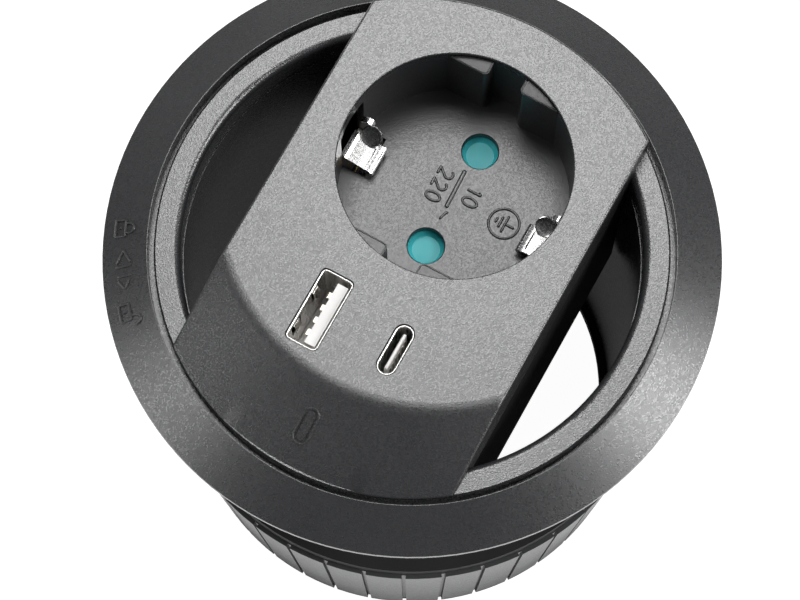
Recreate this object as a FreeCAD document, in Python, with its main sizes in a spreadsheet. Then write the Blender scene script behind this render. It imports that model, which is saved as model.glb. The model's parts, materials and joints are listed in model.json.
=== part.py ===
import FreeCAD, Part
import os
from types import SimpleNamespace

import Sketcher

# Round desk socket insert: a threaded sleeve clamps in a desk hole and carries a turning insert
# with a recessed earthed socket and two charging ports. Millimetres, +Z up, +Y along the bridge
# from the ports to the socket. The origin is on the sleeve's axis at the flange's underside.

SIZES = {
    # Desk sleeve: flange, spigot, thread and bore, each ring given by its step from the next
    "flange_radius": 50.5,
    "flange_edge": 1.0,
    "flange_height": 4.5,
    "flange_step": 3.15,
    "flange_land": 0.15,
    "flange_chamfer": 0.08,
    "ledge_height": 1.6,
    "spigot_length": 10.0,
    "seat_step": 1.2,
    "seat_depth": 1.8,
    "sleeve_gap": 0.7,
    "sleeve_wall": 2.2,
    "sleeve_length": 85.0,
    "foot_step": 1.5,
    "foot_height": 2.0,
    "thread_pitch": 6.0,
    "thread_turns": 12.0,
    "thread_depth": 0.8,
    "thread_crest": 1.4,
    "thread_flank": 0.5,
    "groove_depth": 0.5,
    "groove_low": 0.2,
    "groove_width": 0.8,
    # Clamp nut and washer
    "nut_top": -46.0,
    "nut_height": 38.0,
    "nut_top_wall": 5.0,
    "nut_foot_wall": 2.0,
    "nut_gap": 0.3,
    "nut_thread_gap": 0.15,
    "nut_thread_turns": 2.0,
    "nut_thread_start": 3.5,
    "grip_count": 40.0,
    "grip_width": 0.7,
    "grip_depth": 0.6,
    "washer_thickness": 2.5,
    "washer_margin": 0.8,
    # Insert ring and its stop
    "ring_gap": 0.95,
    "running_gap": 0.1,
    "ring_top": 3.9,
    "ring_edge": 0.3,
    "skirt_wall": 1.0,
    "skirt_gap": 0.2,
    "lip_round": 1.2,
    "lug_gap": 0.15,
    "lug_width": 9.0,
    "lug_first": 30.0,
    "lug_step": 120.0,
    "stop_inset": 1.7,
    "stop_peg_radius": 0.35,
    "stop_depth": 0.8,
    "stop_gap": 0.12,
    "turn_back": 66.0,
    "turn_on": 24.0,
    # Bridge deck across the ring
    "face_height": 8.2,
    "strip_width": 51.2,
    "front_arc_radius": 36.0,
    "front_arc_centre": 8.8,
    "slope_run": 14.1,
    "slope_drop": 4.3,
    "slope_round": 7.0,
    "slope_reach": 20.0,
    "cover_wall": 2.4,
    "side_wall": 1.8,
    "end_wall": 1.4,
    "edge_round": 0.4,
    "mark_y": -34.8,
    "mark_length": 5.4,
    "mark_width": 2.1,
    "mark_line": 0.35,
    "mark_depth": 0.3,
    # Module case below the deck
    "case_depth": 34.0,
    "case_radius": 36.8,
    "case_floor": 1.8,
    "boss_x": 20.3,
    "boss_inset": 2.86,
    "boss_radius": 2.4,
    "screw_radius": 1.15,
    "pilot_gap": 0.05,
    "screw_gap": 0.25,
    "screw_head_radius": 2.2,
    "screw_head_height": 1.0,
    "head_gap": 0.15,
    "screw_bite": 4.5,
    "cross_reach": 1.5,
    "cross_width": 0.76,
    # Socket cup
    "recess_radius": 19.5,
    "recess_depth": 17.0,
    "cup_wall": 1.4,
    "cup_gap": 0.2,
    "cup_floor": 1.5,
    "pin_spacing": 19.0,
    "pin_hole_radius": 3.1,
    "pin_hole_lead": 0.15,
    "guide_flat": 16.6,
    "guide_gap": 6.0,
    "guide_reach": 11.0,
    "guide_drop": 1.0,
    "guide_slope": 0.5,
    "guide_round": 0.8,
    "window_width": 7.6,
    "window_inner": 14.9,
    "window_top": 3.7,
    # Shutter behind the pin holes
    "shutter_radius": 13.6,
    "shutter_thickness": 4.6,
    "shutter_gap": 0.15,
    "shutter_turn": 45.0,
    "well_depth": 0.6,
    "well_foot_radius": 2.35,
    "pivot_radius": 2.4,
    "pivot_gap": 0.08,
    "spring_radius": 3.75,
    "spring_wire": 0.5,
    "spring_pitch": 0.75,
    "spring_turns": 2.6,
    "spring_pocket_radius": 4.8,
    "spring_pocket_depth": 2.7,
    # Contact carrier and contacts
    "carrier_step": 0.3,
    "shutter_ring_wall": 1.7,
    "carrier_bottom": -31.0,
    "pocket_width": 8.4,
    "pocket_length": 9.0,
    "leaf_thickness": 0.6,
    "leaf_width": 5.0,
    "leaf_top": -16.8,
    "leaf_mouth": 3.5,
    "leaf_grip": 2.65,
    "leaf_throat": -18.9,
    "leaf_heel": 2.9,
    "leaf_base": -30.0,
    "bus_width": 3.5,
    "bus_inner": 5.5,
    "bus_bite": 0.2,
    "bus_gap": 0.4,
    "strap_thickness": 0.8,
    "strap_width": 6.0,
    "strap_leg_top": -15.6,
    "strap_tail_width": 4.0,
    # Earth clips
    "clip_thickness": 0.7,
    "clip_width": 7.0,
    "clip_foot": -21.0,
    "clip_line": 16.95,
    "clip_bend": -9.0,
    "clip_contact": 14.1,
    "clip_contact_low": -7.2,
    "clip_contact_high": -6.6,
    "clip_lead": 19.0,
    "clip_lead_top": -5.2,
    "clip_seat_gap": 0.05,
    # Charging ports
    "ports_y": -17.5,
    "port_a_x": -7.2,
    "port_a_length": 13.1,
    "port_a_width": 5.7,
    "port_a_wall": 0.35,
    "port_a_round": 0.8,
    "port_c_x": 6.6,
    "port_c_length": 9.0,
    "port_c_width": 3.3,
    "port_c_wall": 0.3,
    "port_gap": 0.12,
    "port_sink": 0.3,
    "tongue_a_width": 11.1,
    "tongue_a_thickness": 1.9,
    "tongue_a_offset": 1.2,
    "tongue_a_sink": 1.4,
    "tongue_a_base": 1.5,
    "tongue_c_width": 6.7,
    "tongue_c_thickness": 0.7,
    "tongue_c_sink": 1.0,
    "strip_a_width": 1.0,
    "strip_a_pitch": 2.3,
    "strip_a_count": 4.0,
    "strip_c_width": 0.35,
    "strip_c_pitch": 1.0,
    "strip_c_count": 6.0,
    "strip_height": 0.2,
    "strip_c_height": 0.1,
    # Boards and what stands on them
    "board_thickness": 1.6,
    "port_board_top": -6.0,
    "port_board_half_width": 21.0,
    "board_back": -7.6,
    "board_gap": 0.9,
    "board_front": -30.6,
    "charger_board_top": -20.4,
    "standoff_x": 13.2,
    "standoff_back": -10.4,
    "standoff_front": -27.4,
    "standoff_radius": 1.15,
    "post_radius": 1.2,
    "core_length": 15.0,
    "core_width": 13.0,
    "core_height": 11.2,
    "core_x": -7.5,
    "core_y": -19.0,
    "core_leg": 4.0,
    "winding_gap": 0.2,
    "capacitor_radius": 3.1,
    "capacitor_height": 10.8,
    "capacitor_x": 5.4,
    "capacitor_pitch": 7.4,
    "coil_radius": 3.4,
    "coil_wire": 1.5,
    "coil_x": 14.0,
    "fuse_x": 7.0,
    "fuse_y": -28.2,
    "fuse_radius": 2.2,
    "fuse_height": 6.5,
    "chip_size": 5.0,
    "chip_height": 1.0,
    # Terminal block and cable entry
    "block_width": 24.0,
    "block_depth": 7.0,
    "block_height": 8.0,
    "block_gap": 0.6,
    "terminal_pitch": 7.2,
    "terminal_screw_radius": 1.5,
    "terminal_screw_length": 5.0,
    "gland_inset": 2.4,
    "gland_radius": 4.6,
    "gland_flange": 5.8,
    "gland_bore": 3.6,
    "gland_length": 7.0,
    "gland_flange_height": 1.4,
    "gland_gap": 0.05,
}


class Size:
    """A length or an angle: its number, and the sheet formula that gives it."""

    def __init__(self, number, formula):
        self.number = number
        self.formula = formula

    def __add__(self, other):
        return Size(self.number + number(other), "(%s + %s)" % (self.formula, formula(other)))

    def __sub__(self, other):
        return Size(self.number - number(other), "(%s - %s)" % (self.formula, formula(other)))

    def __mul__(self, other):
        return Size(self.number * number(other), "(%s * %s)" % (self.formula, formula(other)))

    def __truediv__(self, other):
        return Size(self.number / number(other), "(%s / %s)" % (self.formula, formula(other)))

    def __neg__(self):
        return Size(-self.number, "(0 - %s)" % self.formula)

    __radd__ = __add__
    __rmul__ = __mul__

    def __rsub__(self, other):
        return Size(number(other) - self.number, "(%s - %s)" % (formula(other), self.formula))


def number(value):
    """The plain number of a size or of a number."""
    return value.number if isinstance(value, Size) else float(value)


def formula(value):
    """The sheet formula of a size or of a number."""
    return value.formula if isinstance(value, Size) else "(%r)" % float(value)


def other_side(slant, side):
    """The second short side of a right-angled triangle."""
    return Size((slant.number ** 2 - side.number ** 2) ** 0.5,
                "sqrt(%s ^ 2 - %s ^ 2)" % (slant.formula, side.formula))


def fill_sheet(document):
    """Write every driving dimension into the sheet and give back the sizes by name."""
    sheet = document.addObject("Spreadsheet::Sheet", "sizes")
    for row, (alias, value) in enumerate(SIZES.items(), start=1):
        sheet.set("A%d" % row, alias)
        sheet.set("B%d" % row, repr(value))
        sheet.setAlias("B%d" % row, alias)
    document.recompute()
    return SimpleNamespace(**{alias: Size(value, "sizes." + alias) for alias, value in SIZES.items()})


doc = FreeCAD.newDocument("desk_socket")
s = fill_sheet(doc)


def bind(thing, name, value):
    """Set a property and tie it to the sheet."""
    setattr(thing, name, number(value))
    thing.setExpression(name, formula(value))


def put(thing, x=0, y=0, z=0, turn=0, axis=(0, 0, 1)):
    """Place a primitive, with its position tied to the sheet."""
    base = FreeCAD.Vector(number(x), number(y), number(z))
    thing.Placement = FreeCAD.Placement(base, FreeCAD.Rotation(FreeCAD.Vector(*axis), turn))
    for letter, value in zip("xyz", (x, y, z)):
        thing.setExpression("Placement.Base." + letter, formula(value))
    return thing


def box(name, x, y, z):
    """A block between three pairs of limits."""
    block = doc.addObject("Part::Box", name)
    bind(block, "Length", x[1] - x[0])
    bind(block, "Width", y[1] - y[0])
    bind(block, "Height", z[1] - z[0])
    return put(block, x[0], y[0], z[0])


def rod(name, radius, z, x=0, y=0):
    """An upright cylinder between two heights."""
    cylinder = doc.addObject("Part::Cylinder", name)
    bind(cylinder, "Radius", radius)
    bind(cylinder, "Height", z[1] - z[0])
    return put(cylinder, x, y, z[0])


def cone(name, low_radius, high_radius, z, x=0, y=0):
    """An upright cone between two heights."""
    solid = doc.addObject("Part::Cone", name)
    bind(solid, "Radius1", low_radius)
    bind(solid, "Radius2", high_radius)
    bind(solid, "Height", z[1] - z[0])
    return put(solid, x, y, z[0])


def fuse(name, *parts):
    """One solid from parts that touch or overlap."""
    joined = doc.addObject("Part::MultiFuse", name)
    joined.Shapes = list(parts)
    joined.Refine = True
    return joined


def common(name, *parts):
    """What all the parts share."""
    shared = doc.addObject("Part::MultiCommon", name)
    shared.Shapes = list(parts)
    return shared


def cut(name, base, *tools):
    """The base without the tools."""
    rest = doc.addObject("Part::Cut", name)
    rest.Base = base
    rest.Tool = tools[0] if len(tools) == 1 else group(name + "_tools", *tools)
    rest.Refine = True
    return rest


def group(name, *parts):
    """Several separate solids kept as one shape."""
    together = doc.addObject("Part::Compound", name)
    together.Links = list(parts)
    return together


def flipped(name, part):
    """The mirror image of a part on the other side of the bridge's centre plane."""
    image = doc.addObject("Part::Mirroring", name)
    image.Source = part
    image.Normal = FreeCAD.Vector(1, 0, 0)
    return image


def plane_of(body, role):
    """One of a body's own origin planes."""
    return next(item for item in body.Origin.OriginFeatures if item.Role == role)


def drawn(body, name, role, corners, offset=0, is_closed=True):
    """A sketch of straight lines whose corners are tied to the sheet."""
    sketch = body.newObject("Sketcher::SketchObject", name)
    sketch.AttachmentSupport = [(plane_of(body, role), "")]
    sketch.MapMode = "FlatFace"
    sketch.AttachmentOffset = FreeCAD.Placement(FreeCAD.Vector(0, 0, number(offset)), FreeCAD.Rotation())
    sketch.setExpression("AttachmentOffset.Base.z", formula(offset))
    spots = [FreeCAD.Vector(number(x), number(y), 0) for x, y in corners]
    lines = len(corners) if is_closed else len(corners) - 1
    for line in range(lines):
        sketch.addGeometry(Part.LineSegment(spots[line], spots[(line + 1) % len(spots)]), False)
    for line in range(lines if is_closed else lines - 1):
        sketch.addConstraint(Sketcher.Constraint("Coincident", line, 2, (line + 1) % lines, 1))
    for spot, (x, y) in enumerate(corners):
        line, end = (spot, 1) if spot < lines else (spot - 1, 2)
        for kind, value in (("DistanceX", x), ("DistanceY", y)):
            place = sketch.addConstraint(Sketcher.Constraint(kind, -1, 1, line, end, number(value)))
            sketch.setExpression("Constraints[%d]" % place, formula(value))
    return sketch


def turned(name, corners, angle=360):
    """A body turned about the upright axis from (radius, height) corners."""
    body = doc.addObject("PartDesign::Body", name)
    sketch = drawn(body, name + "_profile", "XZ_Plane", corners)
    turn = body.newObject("PartDesign::Revolution", name + "_turned")
    turn.Profile = sketch
    turn.ReferenceAxis = (sketch, ["V_Axis"])
    bind(turn, "Angle", angle)
    return body


def plate(name, role, corners, start, thickness):
    """A body padded from a flat outline, starting a stated way off its plane."""
    body = doc.addObject("PartDesign::Body", name)
    sketch = drawn(body, name + "_outline", role, corners, start)
    pad = body.newObject("PartDesign::Pad", name + "_padded")
    pad.Profile = sketch
    bind(pad, "Length", thickness)
    return body


def bent_strip(name, path, width, thickness):
    """A flat strip of even thickness bent along (x, z) points, centred on the y axis."""
    body = doc.addObject("PartDesign::Body", name)
    spine = drawn(body, name + "_spine", "XZ_Plane", path, is_closed=False)
    x, z = path[0]
    half = thickness / 2
    section = drawn(body, name + "_section", "XY_Plane", [
        (x - half, -width / 2), (x + half, -width / 2), (x + half, width / 2), (x - half, width / 2)], z)
    pipe = body.newObject("PartDesign::AdditivePipe", name + "_bent")
    pipe.Profile = section
    pipe.Spine = (spine, ["Edge%d" % (edge + 1) for edge in range(len(path) - 1)])
    pipe.Transition = 1
    return body


def threaded(body, name, corners, pitch, turns):
    """Wind a ridge of (radius, height) corners about the upright axis, right-handed."""
    sketch = drawn(body, name + "_profile", "XZ_Plane", corners)
    ridge = body.newObject("PartDesign::AdditiveHelix", name)
    ridge.Profile = sketch
    ridge.ReferenceAxis = (sketch, ["V_Axis"])
    ridge.Mode = "pitch-turns-angle"
    bind(ridge, "Pitch", pitch)
    bind(ridge, "Turns", turns)
    body.Tip = ridge
    return ridge


def rounded_block(name, x, y, z, radius):
    """A block between three pairs of limits, with its upright edges rounded."""
    return rounded(name, box(name + "_block", x, y, z), radius, lambda edge, middle: is_upright(edge))


def edges_where(shape, test):
    """Numbers of the shape's edges whose middle point passes the test."""
    found = []
    for place, edge in enumerate(shape.Edges, start=1):
        first, last = edge.ParameterRange
        if test(edge, edge.valueAt((first + last) / 2)):
            found.append(place)
    return found


def is_upright(edge):
    """Whether an edge runs straight up."""
    first, last = (edge.Vertexes[0].Point, edge.Vertexes[-1].Point)
    return abs(first.x - last.x) < NEAR and abs(first.y - last.y) < NEAR and first.z != last.z


def rounded(name, base, radius, test):
    """The base with the chosen edges rounded."""
    doc.recompute()
    result = doc.addObject("Part::Fillet", name)
    result.Base = base
    chosen = edges_where(base.Shape, test)
    result.Edges = [(place, number(radius), number(radius)) for place in chosen]
    return result


# Radii from the case outwards: the sleeve round it, then the thread, the flange and the nut
cavity_radius = s.case_radius - s.end_wall
sleeve_bore = s.case_radius + s.sleeve_gap
seat_bore = sleeve_bore + s.seat_step
foot_bore = sleeve_bore - s.foot_step
spigot_radius = sleeve_bore + s.sleeve_wall
thread_core = spigot_radius - s.thread_depth
flange_bore = spigot_radius + s.flange_step
ring_radius = flange_bore - s.ring_gap
stop_radius = flange_bore - s.stop_inset
skirt_radius = seat_bore - s.running_gap
skirt_inner = skirt_radius - s.skirt_wall
nut_bore = spigot_radius + s.nut_gap
nut_top_radius = nut_bore + s.nut_top_wall
nut_foot_radius = nut_bore + s.nut_foot_wall

# Places across the case: the cup at its far end, the cable entry at its near end
cup_radius = s.recess_radius + s.cup_wall
carrier_radius = cup_radius - s.carrier_step
recess_y = cavity_radius - s.cup_gap - cup_radius
half_pin_spacing = s.pin_spacing / 2
far_pin_y = recess_y + half_pin_spacing
near_pin_y = recess_y - half_pin_spacing
boss_y = other_side(s.case_radius - s.boss_inset, s.boss_x)
gland_y = s.gland_inset + s.gland_flange - cavity_radius
block_y = gland_y + s.gland_flange + s.block_gap + s.block_depth / 2
bus_end = block_y + s.block_depth / 2 - s.bus_bite
half_strip = s.strip_width / 2
cavity_half = half_strip - s.side_wall

# Heights that follow from the driving sizes
nut_foot = s.nut_top - s.nut_height
ring_bottom = s.ledge_height + s.running_gap
split = s.skirt_gap - s.seat_depth
case_bottom = -s.case_depth
case_inside = case_bottom + s.case_floor
deck_under = s.face_height - s.cover_wall
cup_floor_top = s.face_height - s.recess_depth
cup_bottom = cup_floor_top - s.cup_floor
shutter_top = cup_bottom - s.shutter_gap
shutter_bottom = shutter_top - s.shutter_thickness
carrier_top = shutter_bottom - s.shutter_gap
port_top = s.face_height - s.port_sink
port_board_under = s.port_board_top - s.board_thickness
charger_board_under = s.charger_board_top - s.board_thickness

# How far a cutting solid runs past a face, how far fused solids overlap, and when two places count as one
OVER = 5.0
SKIN = 0.1
NEAR = 0.05


def make_desk_sleeve():
    """Flange, seat for the insert, clamping thread outside and a lip round the open foot."""
    groove_high = s.groove_low + s.groove_width
    thread_top = -s.spigot_length
    body = turned("sleeve_turned", [
        (spigot_radius, 0),
        (s.flange_radius, 0),
        (s.flange_radius, s.flange_edge),
        (flange_bore + s.flange_land, s.flange_height),
        (flange_bore + s.flange_chamfer, s.flange_height),
        (flange_bore, s.flange_height - s.flange_chamfer),
        (flange_bore, s.ledge_height),
        (seat_bore, s.ledge_height),
        (seat_bore, groove_high),
        (seat_bore + s.groove_depth, groove_high),
        (seat_bore + s.groove_depth, s.groove_low),
        (seat_bore, s.groove_low),
        (seat_bore, -s.seat_depth),
        (sleeve_bore, -s.seat_depth),
        (sleeve_bore, s.foot_height - s.sleeve_length),
        (foot_bore, s.foot_height - s.sleeve_length),
        (foot_bore, -s.sleeve_length),
        (thread_core, -s.sleeve_length),
        (thread_core, thread_top),
        (spigot_radius, thread_top),
    ])
    ridge_low = -s.sleeve_length + s.foot_height / 2
    ridge_root = thread_core - SKIN
    flank = s.thread_flank
    threaded(body, "sleeve_thread", [
        (ridge_root, ridge_low),
        (spigot_radius, ridge_low + flank),
        (spigot_radius, ridge_low + flank + s.thread_crest),
        (ridge_root, ridge_low + flank * 2 + s.thread_crest),
    ], s.thread_pitch, s.thread_turns)
    track_half = s.stop_peg_radius + s.stop_gap
    track = turned("stop_track", [
        (stop_radius - track_half, s.ledge_height - s.stop_depth),
        (stop_radius + track_half, s.ledge_height - s.stop_depth),
        (stop_radius + track_half, s.ledge_height + SKIN),
        (stop_radius - track_half, s.ledge_height + SKIN),
    ], s.turn_back + s.turn_on)
    put(track, turn=-90 - SIZES["turn_back"])
    ends = []
    for end, angle in (("start", -SIZES["turn_back"]), ("end", SIZES["turn_on"])):
        relief = rod("stop_track_" + end, track_half, (s.ledge_height - s.stop_depth, s.ledge_height + SKIN),
                     stop_radius)
        holder = group("stop_track_%s_turned" % end, relief)
        ends.append(put(holder, turn=angle - 90))
    return cut("desk_sleeve", body, track, *ends)


def make_clamp_nut():
    """Tall tapered nut with upright grip grooves, its ridge midway between the sleeve's ridges."""
    body = turned("clamp_nut", [
        (nut_bore, nut_foot),
        (nut_foot_radius, nut_foot),
        (nut_top_radius, s.nut_top),
        (nut_bore, s.nut_top),
    ])
    grip = drawn(body, "grip_outline", "XZ_Plane", [
        (nut_foot_radius - s.grip_depth, nut_foot - SKIN),
        (nut_foot_radius + OVER, nut_foot - SKIN),
        (nut_top_radius + OVER, s.nut_top + SKIN),
        (nut_top_radius - s.grip_depth, s.nut_top + SKIN),
    ])
    groove = body.newObject("PartDesign::Pocket", "grip_groove")
    groove.Profile = grip
    groove.Midplane = True
    bind(groove, "Length", s.grip_width)
    doc.recompute()
    pattern = body.newObject("PartDesign::PolarPattern", "grip_grooves")
    pattern.Originals = [groove]
    pattern.Axis = (grip, ["V_Axis"])
    pattern.Angle = 360
    pattern.Occurrences = int(SIZES["grip_count"])
    pattern.setExpression("Occurrences", formula(s.grip_count))
    body.Tip = pattern
    ridge_low = -s.sleeve_length + s.foot_height / 2 + s.thread_pitch * s.nut_thread_start
    flank = s.thread_flank
    threaded(body, "nut_thread", [
        (nut_bore + SKIN, ridge_low),
        (nut_bore + SKIN, ridge_low + flank * 2 + s.thread_crest),
        (thread_core + s.nut_thread_gap, ridge_low + flank + s.thread_crest),
        (thread_core + s.nut_thread_gap, ridge_low + flank),
    ], s.thread_pitch, s.nut_thread_turns)
    return body


def make_clamp_washer():
    """Rubber ring that rides on the nut and presses on the desk's underside."""
    washer_top = s.nut_top + s.washer_thickness
    return turned("clamp_washer", [
        (nut_bore, s.nut_top),
        (nut_top_radius - s.washer_margin, s.nut_top),
        (nut_top_radius - s.washer_margin, washer_top),
        (nut_bore, washer_top),
    ])


def slope_cone(name, drop):
    """Large cone whose side is the bridge's front slope, lowered by a stated drop."""
    top = s.face_height - drop
    spread = s.slope_run / s.slope_drop * s.slope_reach
    return cone(name, s.front_arc_radius + spread, s.front_arc_radius, (top - s.slope_reach, top),
                y=s.front_arc_centre)


def stadium(name, x, y, width, length, z):
    """An upright slot shape with round ends, long side along Y."""
    radius = width / 2
    straight = (length - width) / 2
    middle = box(name + "_middle", (x - radius, x + radius), (y - straight, y + straight), z)
    ends = [rod("%s_end_%d" % (name, sign + 1), radius, z, x, y + straight * sign) for sign in (-1, 1)]
    return fuse(name, middle, *ends)


def boss_places():
    """The four screw bosses' centres."""
    return [(s.boss_x * side, boss_y * end) for side in (-1, 1) for end in (-1, 1)]


def make_insert_cover():
    """Turning ring with a hollow bridge deck across it, sloped at the front."""
    ring = turned("insert_ring", [
        (skirt_inner, split),
        (skirt_radius, split),
        (skirt_radius, ring_bottom),
        (ring_radius, ring_bottom),
        (ring_radius, s.ring_top - s.ring_edge),
        (ring_radius - s.ring_edge, s.ring_top),
        (skirt_inner, s.ring_top),
    ])
    lip = ring.newObject("PartDesign::Fillet", "ring_lip")
    doc.recompute()

    def is_lip(edge, middle):
        radius = (middle.x ** 2 + middle.y ** 2) ** 0.5
        return abs(radius - number(skirt_inner)) < NEAR and abs(middle.z - number(s.ring_top)) < NEAR

    feature = next(item for item in ring.Group if item.Name.startswith("insert_ring_turned"))
    turned_shape = feature.Shape
    lip.Base = (feature, ["Edge%d" % place for place in edges_where(turned_shape, is_lip)])
    bind(lip, "Radius", s.lip_round)
    ring.Tip = lip

    block = common("deck_block",
                   box("deck_slab", (-half_strip, half_strip), (-s.flange_radius, s.flange_radius),
                       (ring_bottom, s.face_height)),
                   rod("deck_round", ring_radius, (ring_bottom, s.face_height)),
                   slope_cone("deck_cone", 0))

    def is_slope_edge(edge, middle):
        reach = (middle.x ** 2 + (middle.y - number(s.front_arc_centre)) ** 2) ** 0.5
        on_arc = abs(reach - number(s.front_arc_radius)) < NEAR and middle.y < 0
        return on_arc and abs(middle.z - number(s.face_height)) < NEAR and edge.Length > number(half_strip)

    softened = rounded("deck_slope_rounded", block, s.slope_round, is_slope_edge)

    def is_deck_rim(edge, middle):
        is_upper = middle.z > number(s.ring_top - s.ring_edge) and not is_upright(edge)
        on_side = abs(abs(middle.x) - number(half_strip)) < NEAR
        on_end = abs((middle.x ** 2 + middle.y ** 2) ** 0.5 - number(ring_radius)) < NEAR
        return is_upper and (on_side or on_end)

    deck = rounded("deck_edges_rounded", softened, s.edge_round, is_deck_rim)
    walls = common("wall_block",
                   box("wall_slab", (-half_strip, half_strip), (-s.flange_radius, s.flange_radius),
                       (split, ring_bottom + SKIN)),
                   rod("wall_round", skirt_inner + SKIN, (split, ring_bottom + SKIN)))
    lug_radius = seat_bore + s.groove_depth - s.lug_gap
    lug_z = (s.groove_low + s.lug_gap, s.groove_low + s.groove_width - s.lug_gap)
    lug_boxes = []
    for place in range(3):
        block = box("lug_box_%d" % place, (0, flange_bore), (-s.lug_width / 2, s.lug_width / 2), lug_z)
        holder = group("lug_turned_%d" % place, block)
        lug_boxes.append(put(holder, turn=SIZES["lug_first"] + SIZES["lug_step"] * place))
    lug_ring = cut("lug_ring", rod("lug_outer", lug_radius, lug_z),
                   rod("lug_inner", skirt_radius - SKIN, lug_z))
    lugs = common("snap_lugs", lug_ring, fuse("lug_boxes", *lug_boxes))
    peg_low = s.ledge_height - s.stop_depth + s.stop_gap
    peg = rod("stop_peg", s.stop_peg_radius, (peg_low, ring_bottom + SKIN), 0, -stop_radius)
    shell = fuse("cover_block", ring, deck, walls, lugs, peg)

    cavity = common("cover_cavity",
                    box("cavity_slab", (-cavity_half, cavity_half), (-s.flange_radius, s.flange_radius),
                        (split - SKIN, deck_under)),
                    rod("cavity_round", cavity_radius, (split - SKIN, deck_under)),
                    slope_cone("cavity_cone", s.cover_wall))
    hollow = cut("cover_hollow", shell, cavity)
    bosses = []
    pilots = []
    for place, (x, y) in enumerate(boss_places()):
        boss_top = deck_under - s.side_wall
        bosses.append(rod("cover_boss_%d" % place, s.boss_radius, (split, boss_top), x, y))
        pilots.append(rod("cover_pilot_%d" % place, s.screw_radius + s.pilot_gap,
                          (split - SKIN, split + s.screw_bite), x, y))
    bossed = fuse("cover_bossed", hollow, *bosses)
    recess = rod("recess_hole", s.recess_radius, (deck_under - OVER, s.face_height + OVER), 0, recess_y)
    gap = s.port_gap
    half_length = s.port_a_length / 2 + gap
    half_width = s.port_a_width / 2 + gap
    port_z = (deck_under - OVER, s.face_height + OVER)
    hole_a = rounded_block("port_a_hole", (s.port_a_x - half_width, s.port_a_x + half_width),
                           (s.ports_y - half_length, s.ports_y + half_length), port_z, s.port_a_round + gap)
    hole_c = stadium("port_c_hole", s.port_c_x, s.ports_y, s.port_c_width + gap * 2,
                     s.port_c_length + gap * 2, port_z)
    mark_z = (0, s.face_height)
    mark = cut("mark_line_band",
               stadium("mark_outer", 0, s.mark_y, s.mark_width, s.mark_length, mark_z),
               stadium("mark_inner", 0, s.mark_y, s.mark_width - s.mark_line * 2,
                       s.mark_length - s.mark_line * 2, mark_z),
               slope_cone("mark_floor", s.mark_depth))
    return cut("insert_cover", bossed, recess, hole_a, hole_c, mark, *pilots)


def make_module_case():
    """Deep case under the bridge, open at the top, with screw bosses and board posts."""
    outer = common("case_block",
                   box("case_slab", (-half_strip, half_strip), (-s.flange_radius, s.flange_radius),
                       (case_bottom, split)),
                   rod("case_round", s.case_radius, (case_bottom, split)))
    inner = common("case_cavity",
                   box("case_cavity_slab", (-cavity_half, cavity_half),
                       (-s.flange_radius, s.flange_radius), (case_inside, split + SKIN)),
                   rod("case_cavity_round", cavity_radius, (case_inside, split + SKIN)))
    posts = []
    holes = [rod("gland_hole", s.gland_radius + s.gland_gap, (case_bottom - OVER, case_inside + SKIN),
                 0, gland_y)]
    for place, (x, y) in enumerate(boss_places()):
        posts.append(rod("case_boss_%d" % place, s.boss_radius, (case_inside, split), x, y))
        holes.append(rod("case_screw_hole_%d" % place, s.screw_radius + s.screw_gap,
                         (case_bottom - OVER, split + OVER), x, y))
        holes.append(rod("case_head_hole_%d" % place, s.screw_head_radius + s.head_gap,
                         (case_bottom - OVER, case_bottom + s.screw_head_height + s.head_gap), x, y))
    for place, (x, y) in enumerate(standoff_places()):
        posts.append(rod("board_post_%d" % place, s.post_radius, (case_inside, charger_board_under), x, y))
    hollow = cut("case_hollow", outer, inner)
    return cut("module_case", fuse("case_bossed", hollow, *posts), *holes)


def standoff_places():
    """Where the two boards are held, one above the other."""
    return [(s.standoff_x * side, y) for side in (-1, 1) for y in (s.standoff_back, s.standoff_front)]


def make_case_screws():
    """Four self-tapping screws that hold the case to the cover from below."""
    screws = []
    head_bottom = case_bottom + s.head_gap / 2
    head_top = case_bottom + s.screw_head_height + s.head_gap
    slot = s.cross_reach
    arm = s.cross_width / 2
    for place, (x, y) in enumerate(boss_places()):
        head = rod("screw_head_%d" % place, s.screw_head_radius, (head_bottom, head_top), x, y)
        shank = rod("screw_shank_%d" % place, s.screw_radius,
                    (head_top, split + s.screw_bite - s.head_gap), x, y)
        cross_z = (head_bottom - SKIN, head_bottom + s.screw_head_height / 2)
        cross = fuse("screw_cross_%d" % place,
                     box("cross_x_%d" % place, (x - slot, x + slot), (y - arm, y + arm), cross_z),
                     box("cross_y_%d" % place, (x - arm, x + arm), (y - slot, y + slot), cross_z))
        screws.append(cut("screw_%d" % place, fuse("screw_blank_%d" % place, head, shank), cross))
    return group("case_screws", *screws)


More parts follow.
